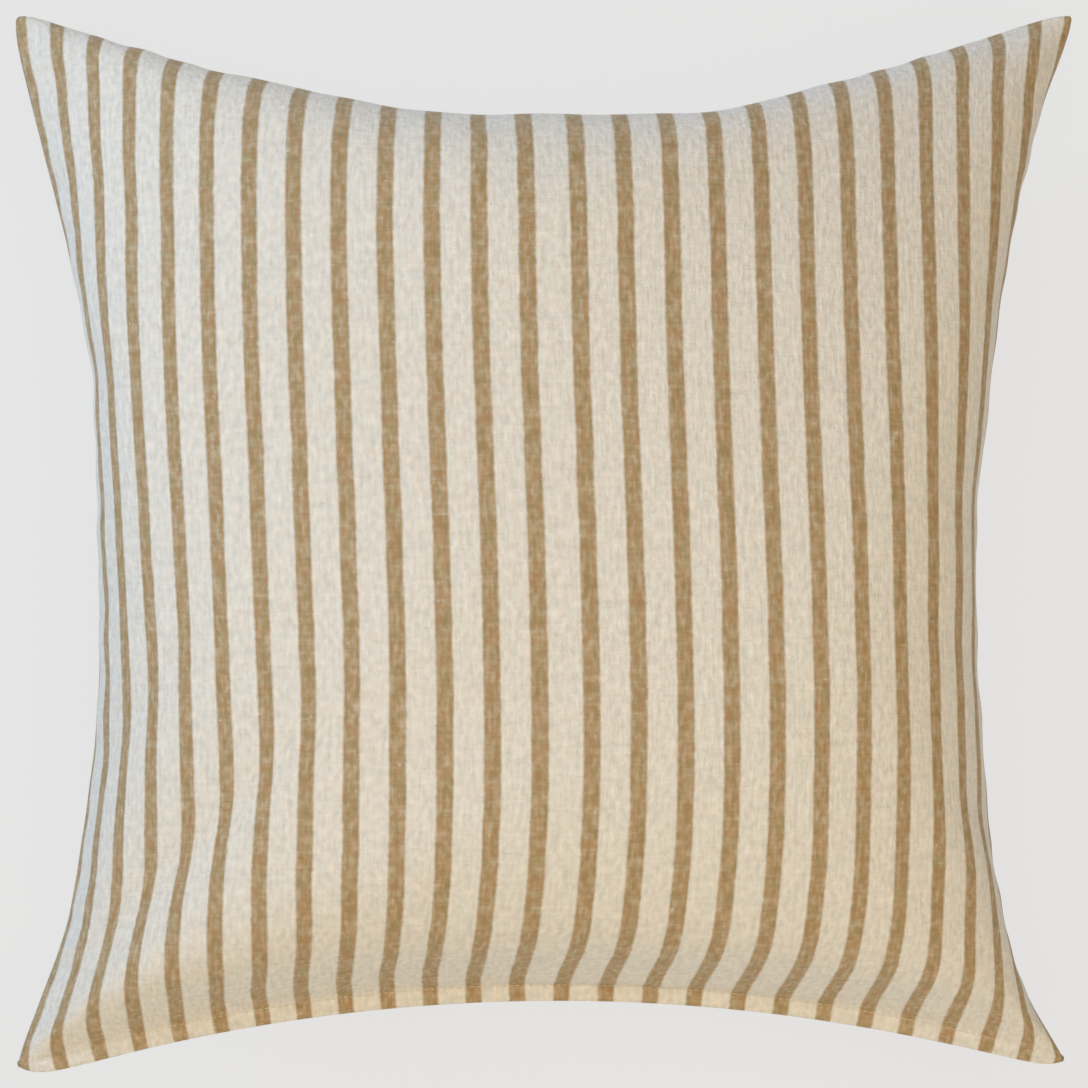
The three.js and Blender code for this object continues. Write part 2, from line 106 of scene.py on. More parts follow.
def seam_lines(side):
    """The four seam lines as (left, right, bottom, top), each points by 3. An edge is straight in its
    middle and opens out to the corners on soft ramps; the bottom one follows the zip's arc. Each line
    is blended to the shared corners, which are then rounded by a step inwards that dies away with an
    exponential. Side is 1 above the seam, -1 below."""
    s = np.linspace(-1, 1, panel_cells + 1)
    run = pinched(s)
    left = (
        -0.2006 - 0.265 * soft_ramp(run, 0.077, 0.012) - 0.155 * soft_ramp(-run, 0.076, 0.012)
        - 0.24 * soft_ramp(-run, 0.172, 0.006)
    )
    right = (
        0.1885 + 0.19 * soft_ramp(run, 0.033, 0.02) + 0.24 * soft_ramp(run, 0.165, 0.010)
        + 0.165 * soft_ramp(-run, 0.045, 0.02) + 0.45 * soft_ramp(-run, 0.193, 0.005)
    )
    across = gathered(s)
    top = (
        0.1885 + 0.25 * soft_ramp(-across, 0.055, 0.014) + 0.10 * soft_ramp(-across, 0.170, 0.010)
        + 0.36 * soft_ramp(across, 0.080, 0.012)
    )
    low_x, low_y = along_zip(zip_run(s), lap_depth * lap_share(s))
    level = np.full_like(s, seam_gap)
    raised = seam_gap + lip_rise * closing(s) + lap_ply
    lines = [
        np.stack([left, run, level], 1),
        np.stack([right, run, level], 1),
        np.stack([low_x, low_y + lifted(s), raised], 1),
        np.stack([across, top, level], 1),
    ]
    tip = {
        (-1, -1): (-0.2395, -0.2358), (1, -1): (0.2404, -0.2375),
        (-1, 1): (-0.2440, 0.2442), (1, 1): (0.2487, 0.2484),
    }
    ends = [((-1, -1), (-1, 1)), ((1, -1), (1, 1)), ((-1, -1), (1, -1)), ((-1, 1), (1, 1))]
    share = np.linspace(0, 1, panel_cells + 1)[:, None]
    for line, pair in zip(lines, ends):
        for corner, near in zip(pair, (share, share[::-1])):
            height = seam_gap + (lap_ply if corner[1] < 0 else 0)
            apex = np.array([*tip[corner], height])
            line += (apex - line[0 if corner is pair[0] else -1]) * (1 - near) ** 14
            blunt = 1.22 if corner[1] > 0 else 0.36
            inward = np.array([-corner[0], -corner[1], 0]) * blunt * corner_softness
            line += inward * np.exp(-near * panel_size / (2 * corner_softness))
        line[:, 2] = seam_height + side * line[:, 2]
    return lines


def spanned(left, right, bottom, top):
    """The smooth patch between four lines: the two rulings added, less the bilinear of the corners."""
    u = np.linspace(0, 1, len(bottom))[:, None, None]
    v = np.linspace(0, 1, len(left))[None, :, None]
    across = (1 - u) * left[None] + u * right[None]
    along = (1 - v) * bottom[:, None] + v * top[:, None]
    corners = (
        (1 - u) * (1 - v) * bottom[0] + u * (1 - v) * bottom[-1]
        + (1 - u) * v * top[0] + u * v * top[-1]
    )
    return across + along - corners


def quads_over(at, flip=False):
    """The quads of a grid of points, from the grid of their numbers."""
    quads = np.stack([at[:-1, :-1], at[1:, :-1], at[1:, 1:], at[:-1, 1:]], -1).reshape(-1, 4)
    return quads[:, ::-1] if flip else quads


def counted(rows, columns):
    """The numbers of a rows by columns grid of points, row by row."""
    return np.arange(rows * columns).reshape(rows, columns)


def mesh_object(name, points, faces, cloth=None):
    """A mesh object at the origin, with the cloth's own coordinates as its UV map."""
    mesh = bpy.data.meshes.new(name)
    faces = faces.tolist() if isinstance(faces, np.ndarray) else faces
    mesh.from_pydata(np.asarray(points).reshape(-1, 3).tolist(), [], faces)
    mesh.shade_smooth()
    if cloth is not None:
        corners = np.empty(len(mesh.loops), np.int32)
        mesh.loops.foreach_get("vertex_index", corners)
        layer = mesh.uv_layers.new(name="cloth")
        mapped = np.asarray(cloth).reshape(-1, 2)[corners]
        layer.data.foreach_set("uv", mapped.astype(np.float32).ravel())
    made = bpy.data.objects.new(name, mesh)
    bpy.context.scene.collection.objects.link(made)
    return made


def domed(lines, side, height):
    """The patch between the seam lines, raised by height times a dome of two flattened powers."""
    s = np.linspace(-1, 1, panel_cells + 1)
    shape = spanned(*lines)
    rise = ((1 - np.abs(s[:, None]) ** 2.4) * (1 - np.abs(s[None]) ** 2.4)) ** 0.55
    shape[..., 2] += side * height * rise
    return shape


def swollen(name, drawn, side, pressure):
    """The flat panel blown out by the insert while its four seams are drawn in to their places: a
    cloth simulation whose edge is held, with no gravity. The result is the cloth's points."""
    drawn_in_by, settled_by = 11, 23
    count = panel_cells + 1
    s = np.linspace(-1, 1, count) * panel_size / 2
    flat = np.stack(np.broadcast_arrays(s[:, None], s[None], np.full((count, count), seam_height)), -1)
    flat[..., 2] += side * 0.05 * np.abs(drawn[..., 2] - seam_height)
    at = counted(count, count)
    cloth = mesh_object(name, flat, quads_over(at, side < 0))
    cloth.shape_key_add(name="flat")
    key = cloth.shape_key_add(name="drawn in")
    key.data.foreach_set("co", drawn.astype(np.float32).ravel())
    key.value = 0
    key.keyframe_insert("value", frame=1)
    key.value = 1
    key.keyframe_insert("value", frame=drawn_in_by)
    edge = np.unique(np.concatenate([at[0], at[-1], at[:, 0], at[:, -1]]))
    held = cloth.vertex_groups.new(name="seams")
    held.add(edge.tolist(), 1, "REPLACE")
    weave = cloth.modifiers.new("cloth", "CLOTH")
    weave.settings.vertex_group_mass = "seams"
    weave.settings.quality = 8
    weave.settings.mass = 0.2
    weave.settings.air_damping = 3
    weave.settings.tension_stiffness = 40
    weave.settings.compression_stiffness = 5
    weave.settings.shear_stiffness = 15
    weave.settings.bending_stiffness = 0.5
    weave.settings.tension_damping = 25
    weave.settings.compression_damping = 25
    weave.settings.shear_damping = 25
    weave.settings.use_pressure = True
    weave.settings.uniform_pressure_force = pressure
    weave.settings.effector_weights.gravity = 0
    weave.collision_settings.use_collision = False
    weave.point_cache.frame_start = 1
    weave.point_cache.frame_end = 30
    for step in range(1, settled_by + 1):
        bpy.context.scene.frame_set(step)
    settled = cloth.evaluated_get(bpy.context.evaluated_depsgraph_get()).to_mesh()
    points = np.empty(count * count * 3, np.float32)
    settled.vertices.foreach_get("co", points)
    bpy.data.objects.remove(cloth)
    bpy.context.scene.frame_set(1)
    return points.reshape(count, count, 3).astype(float)


def smoothed(points, passes):
    """Each inner point moved halfway to the mean of its four neighbours, that many times over."""
    shape = points.copy()
    for _ in range(passes):
        mean = shape[:-2, 1:-1] + shape[2:, 1:-1] + shape[1:-1, :-2] + shape[1:-1, 2:]
        shape[1:-1, 1:-1] += 0.5 * (mean / 4 - shape[1:-1, 1:-1])
    return shape


def slid(points):
    """The cloth pushed sideways over the insert, its shape unchanged: each point takes the place of
    one a little further along its row. The push draws both sides inwards with the cube of the
    distance from the middle, twists the rows with a cubic in height, and dies away at the seams."""
    s = np.linspace(-1, 1, panel_cells + 1)
    u, v = s[:, None], s[None]
    free = (1 - u**16) * (1 - v**16) * (1 - ((1 - v) / 2) ** 6)
    push = free * (0.045 * u * v**2 - 0.059 * u**3 - 0.035 * v + 0.045 * v**3 - 0.005)
    shape = points.copy()
    for row in range(panel_cells + 1):
        for axis in range(3):
            shape[:, row, axis] = np.interp(s + push[:, row], s, points[:, row, axis])
    return shape


def eased(points, side, lines, crown, seed):
    """The cloth after hands have smoothed it. Its height is scaled to the crown and lowered near the
    bottom seam, it is slid over the insert, and overhang beyond the seam lines is drawn in. A long
    gentle unevenness from a few crossing waves is laid over it, and short puckers stand square to
    the seams and die away inside 25 mm. The whole leans to the right with its height."""
    left, right, bottom, top = lines
    s = np.linspace(-1, 1, panel_cells + 1)
    shape = smoothed(points, 12)
    rise = side * (shape[..., 2] - seam_height)
    above = shape[..., 1] - bottom[:, None, 1]
    low = 1 - 0.45 * (1 - s[:, None] ** 8) * np.exp(-((above / 0.016) ** 2))
    level = rise[:, :1] * np.exp(-((above / 0.03) ** 2))
    shape[..., 2] = seam_height + side * (level + (rise - level) * low * crown / rise.max())
    shape = slid(shape)
    start, tuck = 0.001, 0.006
    free = (1 - s[:, None] ** 8) * (1 - s[None] ** 8)
    x, y = shape[..., 0], shape[..., 1]
    left_edge = left[None, :, 0]
    right_edge = right[None, :, 0] + 0.005
    lap_edge = bottom[:, None, 1] + 0.0025 + 0.14 * side * (shape[..., 2] - seam_height)
    top_edge = top[:, None, 1] + 0.002
    west = left_edge + soft_ramp(x - left_edge, start, tuck)
    east = right_edge - soft_ramp(right_edge - x, start, tuck)
    south = lap_edge + soft_ramp(y - lap_edge, start, tuck)
    north = top_edge - soft_ramp(top_edge - y, start, tuck)
    shape[..., 0] += free * ((west - x) * (s[:, None] < 0) + (east - x) * (s[:, None] > 0))
    shape[..., 1] += free * ((south - y) * (s[None] < 0) + (north - y) * (s[None] > 0))
    rng = np.random.default_rng(seed)
    uneven = np.zeros((panel_cells + 1, panel_cells + 1))
    for size in (9, 7, 6, 5, 4, 3.2, 2.6, 2.2):
        for _ in range(4):
            turn, phase = rng.uniform(0, 2 * np.pi, 2)
            wave = np.pi * 9 / size * (np.cos(turn) * s[:, None] + np.sin(turn) * s[None])
            uneven += 0.00011 * (size / 9) ** 0.6 * np.sin(wave + phase)
    nearest = np.minimum(1 - np.abs(s)[:, None], 1 - np.abs(s)[None])
    away = nearest * panel_size / 2
    u, v = np.meshgrid(s, s, indexing="ij")
    run = np.where(np.abs(u) > np.abs(v), v, u)
    pucker = (
        0.00055 * np.sin(run * 57 + 1.3 * np.sin(run * 9)) * np.exp(-((away - 0.009) / 0.012) ** 2)
        + 0.00035 * np.sin(run * 31 + 2 * np.sin(run * 5 + 1)) * np.exp(-((away - 0.018) / 0.016) ** 2)
    )
    shape[..., 0] += 0.02 * free * (shape[..., 2] - seam_height)
    along_u = np.gradient(shape, axis=0)
    along_v = np.gradient(shape, axis=1)
    normal = side * np.cross(along_u, along_v)
    normal /= np.linalg.norm(normal, axis=-1, keepdims=True)
    edge_free = np.clip(away / 0.008, 0, 1)[..., None]
    return shape + side * normal * (uneven + pucker)[..., None] * edge_free


def turned_in(lines, cloth_at, depths, height):
    """Rows of the seam allowance along the left, top and right seams: the chain of seam points moved
    inwards, square to the seam, by each depth, less at the corners, where the allowance is clipped."""
    left, right, _, top = lines
    cells = len(left) - 1
    chain = np.concatenate([left, top[1:], right[::-1][1:]])
    outward_cloth = np.repeat([[-1.0, 0.0], [0.0, 1.0], [1.0, 0.0]], [cells + 1, cells, cells], axis=0)
    along = np.gradient(chain[:, :2], axis=0)
    inward = np.stack([along[:, 1], -along[:, 0]], 1)
    inward /= np.linalg.norm(inward, axis=1, keepdims=True)
    s = np.linspace(-1, 1, cells + 1)
    width = 0.2 + 0.8 * (1 - np.abs(np.concatenate([s, s[1:], s[1:]])) ** 16)
    rows, cloths = [], []
    for depth in depths:
        row = chain.copy()
        row[:, :2] += inward * (depth * width)[:, None]
        row[:, 2] = height
        rows.append(row)
        cloths.append(cloth_at + outward_cloth * (depth * width)[:, None] / panel_size)
    return rows, cloths


def lap_rows(bottom, side, outer, inner):
    """Rows of the bottom edge beyond its stitched line. Each pair is (inset from the fold line, dip
    towards the seam plane); outer rows run to the fold and inner rows come back under it, one ply
    lower. At both ends, where the seam is sewn shut, the rows lie on the seam plane and draw in
    towards the stitched line, so that the corner is round."""
    s = np.linspace(-1, 1, panel_cells + 1)
    run = zip_run(s)
    lift = closing(s)
    narrow = lap_share(s)
    drawn = 1 - 0.7 * np.exp(-(1 - np.abs(s)) * panel_size / (2 * corner_softness))
    stitched = np.stack(along_zip(run, lap_depth * narrow), 1)
    rows = []
    for ply, section in ((lap_ply, outer), (0, inner)):
        for inset, dip in section:
            step = (np.stack(along_zip(run, inset * narrow), 1) - stitched) * drawn[:, None]
            x, y = (bottom[:, :2] + step).T
            z = seam_height + side * (seam_gap + (lip_rise - dip) * lift + ply)
            rows.append(np.stack([x, y, z], 1))
    return rows[::-1]


def sewn_panel(name, points, lines, side, hem, depths, gap):
    """One whole panel: the swollen cloth, the rows of its bottom hem and the allowances turned in on
    its other three edges, all one mesh that shares the points of its seam lines."""
    count = points.shape[0]
    s = np.linspace(0, 1, count)
    grid = np.concatenate([np.stack(hem, 1), points], 1)
    rows = grid.shape[1]
    first = len(hem)
    depth = np.concatenate([np.linspace(-0.0036 * first, -0.0036, first), s])
    cloth = np.stack(np.broadcast_arrays(s[:, None], depth[None]), -1)
    at = counted(count, rows)
    faces = quads_over(at)
    chain_at = np.concatenate([at[0, first:], at[1:, -1], at[-1, first:][::-1][1:]])
    height = seam_height + side * gap
    strips, strip_cloth = turned_in(lines, cloth.reshape(-1, 2)[chain_at], depths, height)
    everything = [grid.reshape(-1, 3)]
    mapped = [cloth.reshape(-1, 2)]
    last, total = chain_at, count * rows
    for strip, where in zip(strips, strip_cloth):
        here = total + np.arange(len(strip))
        faces = np.concatenate([faces, np.stack([last[:-1], last[1:], here[1:], here[:-1]], -1)])
        everything.append(strip)
        mapped.append(where)
        last, total = here, total + len(strip)
    if side < 0:
        faces = faces[:, ::-1]
    return mesh_object(name, np.concatenate(everything), faces, np.concatenate(mapped))


def rounded(piece):
    """Rounds a soft piece with one subdivision."""
    rounding = piece.modifiers.new("rounding", "SUBSURF")
    rounding.levels = 1
    rounding.render_levels = 1


def woven_finish(piece, thickness):
    """Rounds the cloth and gives it its thickness."""
    rounded(piece)
    ply = piece.modifiers.new("ply", "SOLIDIFY")
    ply.thickness = thickness
    ply.offset = 0


class Strand:
    """One output of a material's nodes. Arithmetic on strands adds Math nodes."""

    def __init__(self, tree, socket):
        self.tree = tree
        self.socket = socket

    def node(self, kind, settings, values, output=0):
        """Any other node: its settings are set first, then its sockets take values or strands."""
        made = self.tree.nodes.new(kind)
        for name, value in settings.items():
            setattr(made, name, value)
        for name, value in values.items():
            if isinstance(value, Strand):
                self.tree.links.new(value.socket, made.inputs[name])
            else:
                made.inputs[name].default_value = value
        return Strand(self.tree, made.outputs[output])

    def math(self, operation, *values):
        return self.node("ShaderNodeMath", {"operation": operation}, dict(enumerate(values)))

    def __add__(self, other):
        return self.math("ADD", self, other)

    def __sub__(self, other):
        return self.math("SUBTRACT", self, other)

    def __rsub__(self, other):
        return self.math("SUBTRACT", other, self)

    def __mul__(self, other):
        return self.math("MULTIPLY", self, other)

    def __truediv__(self, other):
        return self.math("DIVIDE", self, other)

    __radd__ = __add__
    __rmul__ = __mul__

    def sine(self):
        return self.math("SINE", self)

    def size(self):
        return self.math("ABSOLUTE", self)

    def fraction(self):
        return self.math("FRACT", self)

    def step(self, low, high):
        """Nothing below low and one above high, with a smooth rise between them."""
        values = {"Value": self, "From Min": low, "From Max": high}
        return self.node("ShaderNodeMapRange", {"interpolation_type": "SMOOTHSTEP"}, values)

    def noise(self, scale, detail=2.0, roughness=0.5):
        values = {"Vector": self, "Scale": scale, "Detail": detail, "Roughness": roughness}
        return self.node("ShaderNodeTexNoise", {"noise_dimensions": "3D"}, values)

    def point(self, x, y, z=0.0):
        return self.node("ShaderNodeCombineXYZ", {}, {0: x, 1: y, 2: z})

    def tint(self, first, second):
        """The first colour turned into the second by this strand's share."""
        return self.node("ShaderNodeMix", {"data_type": "RGBA"}, {0: self, 6: first, 7: second}, 2)


def coated(name, roughness):
    """A new material, its shader and a first strand that carries its Object coordinates."""
    made = bpy.data.materials.new(name)
    made.use_nodes = True
    shader = made.node_tree.nodes["Principled BSDF"]
    shader.inputs["Roughness"].default_value = roughness
    place = made.node_tree.nodes.new("ShaderNodeTexCoord")
    return made, shader, Strand(made.node_tree, place.outputs["Object"])


def on_cloth(start):
    """The two cloth coordinates of the UV map, in millimetres."""
    uv = start.node("ShaderNodeUVMap", {"uv_map": "cloth"}, {})
    return [
        uv.node("ShaderNodeSeparateXYZ", {}, {0: uv}, axis) * (panel_size * 1000)
        for axis in (0, 1)
    ]


def joined(shader, socket, strand):
    """A link from a strand to one socket of the shader."""
    strand.tree.links.new(strand.socket, shader.inputs[socket])


def relief(shader, strand, strength, distance):
    """A Bump node between a height and the shader's Normal."""
    values = {"Strength": strength, "Distance": distance, "Height": strand}
    joined(shader, "Normal", strand.node("ShaderNodeBump", {}, values))


def striped_linen():
    """Plain weave in the cloth's own millimetres: sine times sine is one thread over the next. Yarn
    by yarn tone comes from noise drawn out along warp and weft, and the stripes from the distance to
    the nearest multiple of their spacing, their edges wavered by noise. Slubs and uneven dye mottle
    the cloth in soft flecks of two or three millimetres, more in the stripes than between them."""
    made, shader, start = coated("striped linen", 0.92)
    spacing, first, half_stripe, blur, pitch = 20.12, 3.0, 3.62, 0.75, 0.86
    ground_cool = (0.795, 0.757, 0.684, 1)
    ground_warm = (0.822, 0.752, 0.668, 1)
    tan_red = (0.455, 0.272, 0.125, 1)
    tan_green = (0.385, 0.272, 0.118, 1)
    flax = (0.60, 0.52, 0.39, 1)
    pale = (0.86, 0.83, 0.76, 1)
    across, along = on_cloth(start)
    waver = start.point(across * 0.02, along * 0.045).noise(1.0, 3.0) - 0.5
    fray = start.point(across * 0.7, along * 0.35, 7.0).noise(1.0, 2.0, 0.6) - 0.5
    turn = ((across - first + waver * 1.2 + fray * 1.0) / spacing + 0.5).fraction()
    stripe = 1 - ((turn - 0.5).size() * spacing).step(half_stripe - blur, half_stripe + blur)
    crossing = (across * (math.pi / pitch)).sine() * (along * (math.pi / pitch)).sine()
    warp_tone = start.point(across * 0.60, along * 0.07, 3.0).noise(1.0, 2.0) - 0.5
    weft_tone = start.point(across * 0.07, along * 0.62, 5.0).noise(1.0, 2.0) - 0.5
    fleck = start.point(across * 0.40, along * 0.25, 19.0).noise(1.0, 1.0, 0.4) - 0.5
    patch = start.point(across * 0.24, along * 0.13, 11.0).noise(1.0, 2.0, 0.6) - 0.5
    hue = start.point(across * 0.26, along * 0.12, 31.0).noise(1.0, 2.0).step(0.36, 0.64)
    slub = start.point(across * 0.11, along * 0.75, 17.0).noise(1.0, 1.0).step(0.62, 0.76)
    nep = start.point(across * 0.28, along * 0.24, 23.0).noise(1.0, 2.0, 0.6).step(0.66, 0.80)
    mottle = fleck * 0.9 + patch * 0.8 + weft_tone * 0.45 + warp_tone * 0.7
    tan = (mottle + slub * 0.25 + 0.24).step(-0.1, 1.1).tint(hue.tint(tan_green, tan_red), flax)
    yarn = stripe.tint(hue.tint(ground_cool, ground_warm), tan)
    yarn = (nep * 0.4).tint(yarn, pale)
    tone = (
        1.0 + warp_tone * (0.26 - stripe * 0.1) + weft_tone * 0.12
        + fleck * (0.34 - stripe * 0.20) + patch * 0.14
    )
    mixed = {"data_type": "RGBA", "blend_type": "MULTIPLY"}
    joined(shader, "Base Color", start.node("ShaderNodeMix", mixed, {0: 1.0, 6: yarn, 7: tone}, 2))
    joined(shader, "Roughness", 0.9 + fleck * 0.12)
    shader.inputs["Sheen Weight"].default_value = 0.08
    shader.inputs["Sheen Roughness"].default_value = 0.6
    height = crossing * 0.12 + warp_tone * 1.4 + weft_tone * 1.0 + fleck * 1.8 + slub * 0.5 + patch * 0.8
    relief(shader, height, 0.6, 0.00045)
    return made


linen = striped_linen()
front_lines = seam_lines(1)
front_points = domed(front_lines, side=1, height=0.098)
front_points = swollen("front cloth", front_points, side=1, pressure=34)
front_points = eased(front_points, 1, front_lines, crown=0.099, seed=11)
front_outer = [
    (0.0068, 0.0), (0.0050, 0.00005), (0.0033, 0.00022), (0.0019, 0.0006), (0.0009, 0.00095),
    (0.0003, 0.00125),
]
front_inner = [
    (0.0004, 0.00115), (0.0011, 0.00095), (0.0019, 0.0006), (0.0033, 0.00022), (0.0050, 0.00005),
    (0.0072, 0.0), (0.0100, 0.0), (0.0130, 0.0),
]
front_hem = lap_rows(front_lines[2], 1, front_outer, front_inner)
front_panel = sewn_panel(
    "front_panel", front_points, front_lines, 1, front_hem, turned_depths, seam_gap
)
woven_finish(front_panel, cloth_thickness)
front_panel.data.materials.append(linen)
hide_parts("cover_front_panel")
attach(front_panel, "pillow")

# ------------------------------------------------------------------ cover, back panel
# The same square of linen for the underside. Its bottom edge is the short lip of the zip, folded
# 3 mm inside the lap's fold. It swells as the front does, and lies flat where the pillow rests.


def rested(points, floor_gap):
    """The underside set down: height is kept above the ground by a soft ramp, less what the ramp
    adds at the ground itself, so that the flat part lies on it."""
    softness, fade = 0.0022, 0.004
    shape = points.copy()
    over = shape[..., 2] - floor_gap
    added = softness * math.log(2) * np.exp(-np.abs(over) / fade)
    shape[..., 2] = floor_gap + soft_ramp(over, 0, softness) - added
    shape[..., 2] = np.maximum(shape[..., 2], floor_gap)
    return shape


back_lines = seam_lines(-1)
back_points = domed(back_lines, side=-1, height=0.094)
back_points = swollen("back cloth", back_points, side=-1, pressure=30)
back_points = eased(back_points, -1, back_lines, crown=0.094, seed=12)
back_points = rested(back_points, floor_gap=0.0006)
back_outer = [(0.0068, 0.0), (0.0052, 0.0), (0.0040, 0.0), (0.0034, 0.0002)]
back_inner = [(0.0035, 0.0), (0.0042, 0.0), (0.0052, 0.0), (0.0072, 0.0), (0.0100, 0.0), (0.0130, 0.0)]
back_hem = lap_rows(back_lines[2], -1, back_outer, back_inner)
back_panel = sewn_panel(
    "back_panel", back_points, back_lines, -1, back_hem, turned_depths, seam_gap
)
woven_finish(back_panel, cloth_thickness)
back_panel.data.materials.append(linen)
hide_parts("cover_back_panel")
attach(back_panel, "pillow")

# ------------------------------------------------------------------ zip tapes
# Two woven polyester tapes, 10 mm of each showing past its coil. Each is stitched to the cloth under
# the lap or the lip, and carries one half of the coil along its inner edge.
tape_section = [
    (0.00525, 0.00252), (0.00550, 0.00275), (0.00590, 0.00293), (0.00660, 0.0030),
    (0.0090, 0.0030), (0.0120, 0.0030), (0.0148, 0.0030),
]
tape_thickness = 0.0004
tape_far_inset = 0.015
tape_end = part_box("zipper_tape_front")[1].x
tape_reach = zip_arc_radius * math.asin(tape_end / (zip_arc_radius + tape_far_inset))


def zip_tape(name, side):
    """A section of (inset, height) pairs carried along the zip's arc, its run and inset as its UVs."""
    run = np.linspace(-tape_reach, tape_reach, 161)
    section = np.array(tape_section)
    x, y = along_zip(run[:, None], section[None, :, 0])
    z = seam_height + side * section[None, :, 1] + 0 * run[:, None]
    cloth = np.stack(np.broadcast_arrays(run[:, None], section[None, :, 0]), -1) / panel_size
    faces = quads_over(counted(len(run), len(section)), side < 0)
    return mesh_object(name, np.stack([x, y, z], -1), faces, cloth)


def twilled_tape():
    """Narrow twill: diagonal ribs from a sine of the run plus the inset, with noise along the yarns."""
    made, shader, start = coated("zip tape twill", 0.88)
    run, inset = on_cloth(start)
    rib = ((run + inset) * 7.0).sine() * 0.5 + (inset * 11.0).sine() * 0.3
    yarn = start.point(run * 0.2, inset * 2.4).noise(1.0, 2.0) - 0.5
    share = (0.5 + rib * 0.3 + yarn * 0.7).step(0.0, 1.0)
    joined(shader, "Base Color", share.tint((0.50, 0.43, 0.31, 1), (0.68, 0.61, 0.48, 1)))
    joined(shader, "Roughness", 0.84 + yarn * 0.1)
    relief(shader, rib + yarn * 0.8, 0.5, 0.0002)
    return made


tape_finish = twilled_tape()
for name, side in (("front_zip_tape", 1), ("back_zip_tape", -1)):
    tape = zip_tape(name, side)
    woven_finish(tape, tape_thickness)
    tape.data.materials.append(tape_finish)
    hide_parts("zipper_tape_front" if side > 0 else "zipper_tape_back")
    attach(tape, "pillow")

# ------------------------------------------------------------------ zip coils
# A nylon monofilament wound into a coil along each tape, a turn every 1.25 mm. The two coils meet
# under the lap, and the slider presses their turns together.
coil_inset = 0.0053
coil_height = 0.0014
coil_turn = 0.00051
coil_wire = 0.00026
coil_pitch = 0.00125
coil_far_inset = 0.0061
coil_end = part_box("zipper_coil_front")[1].x
coil_reach = zip_arc_radius * math.asin(coil_end / (zip_arc_radius + coil_far_inset))


def tube_faces(at, pole):
    """The quads round a tube, from its points' numbers ring by ring, and the triangles that close
    it: the point numbered pole closes its first ring and the next one its last."""
    turned = np.roll(at, -1, axis=1)
    walls = np.stack([at[:-1], turned[:-1], turned[1:], at[1:]], -1).reshape(-1, 4)
    near = np.stack([turned[0], at[0], np.full_like(at[0], pole)], -1)
    far = np.stack([at[-1], turned[-1], np.full_like(at[0], pole + 1)], -1)
    return walls, np.concatenate([near, far])


def wound_coil(name, side):
    """A helix about the zip's arc, as a five-sided tube. Each ring of the tube lies square to the
    helix, spread by the arc's own direction and the direction square to both."""
    sides, rings_per_turn = 5, 9
    reach = coil_reach - coil_wire - 0.0002
    turns = int(2 * reach / coil_pitch)
    run = np.linspace(-reach, reach, turns * rings_per_turn + 1)
    phase = np.pi * (run + reach) / reach * turns
    x, y = along_zip(run, coil_inset + coil_turn * np.cos(phase))
    z = seam_height + side * (coil_height + coil_turn * np.sin(phase))
    path = np.stack([x, y, z], 1)
    tangent = np.gradient(path, axis=0)
    tangent /= np.linalg.norm(tangent, axis=1, keepdims=True)
    arc = np.stack([np.cos(run / zip_arc_radius), -np.sin(run / zip_arc_radius), 0 * run], 1)
    wide = arc - tangent * np.sum(arc * tangent, 1, keepdims=True)
    wide /= np.linalg.norm(wide, axis=1, keepdims=True)
    deep = np.cross(tangent, wide)
    angle = np.linspace(0, 2 * np.pi, sides + 1)[:-1]
    ring = np.cos(angle)[None, :, None] * wide[:, None] + np.sin(angle)[None, :, None] * deep[:, None]
    points = np.concatenate([(path[:, None] + coil_wire * ring).reshape(-1, 3), path[[0, -1]]])
    walls, caps = tube_faces(counted(len(path), sides), len(points) - 2)
    return mesh_object(name, points, walls.tolist() + caps.tolist())


def nylon_coil():
    """Slightly cloudy nylon: two close creams turned by noise, its gloss broken by a finer noise."""
    made, shader, start = coated("nylon coil", 0.4)
    cloud = start.noise(260.0, 2.0)
    fine = start.noise(2400.0, 2.0)
    joined(shader, "Base Color", cloud.tint((0.50, 0.42, 0.29, 1), (0.66, 0.58, 0.44, 1)))
    joined(shader, "Roughness", 0.32 + fine * 0.2)
    relief(shader, fine, 0.2, 0.0001)
    return made


coil_finish = nylon_coil()
for name, side in (("front_zip_coil", 1), ("back_zip_coil", -1)):
    coil = wound_coil(name, side)
    coil.data.materials.append(coil_finish)
    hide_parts("zipper_coil_front" if side > 0 else "zipper_coil_back")
    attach(coil, "pillow")

# ------------------------------------------------------------------ zip stops, slider and pull
# Small brass pieces. Two top stops and one bottom stop are crimped over the coil's ends. The cast
# slider runs on both coils between them, and its plain pull swings on the ring at its outer edge.


def worn_brass():
    """Brass dulled by noise patches, with fine scratches from noise drawn out along one direction and
    a brighter tone where handling has polished it."""
    made, shader, start = coated("worn brass", 0.35)
    patch = start.noise(420.0, 4.0, 0.6)
    drawn = start.node("ShaderNodeMapping", {}, {0: start, 3: (1.0, 9.0, 9.0)})
    scratch = drawn.noise(900.0, 3.0, 0.7)
    polish = (patch * 0.7 + scratch * 0.3).step(0.35, 0.7)
    joined(shader, "Base Color", polish.tint((0.36, 0.25, 0.105, 1), (0.62, 0.47, 0.23, 1)))
    joined(shader, "Roughness", 0.48 - polish * 0.2 + scratch * 0.1)
    shader.inputs["Metallic"].default_value = 1.0
    relief(shader, scratch + patch * 0.5, 0.25, 0.00006)
    return made


brass = worn_brass()
for name in (
    "zipper_top_stop_front", "zipper_top_stop_back", "zipper_bottom_stop",
    "zipper_slider", "zipper_pull",
):
    bpy.data.objects[name].material_slots[0].material = brass

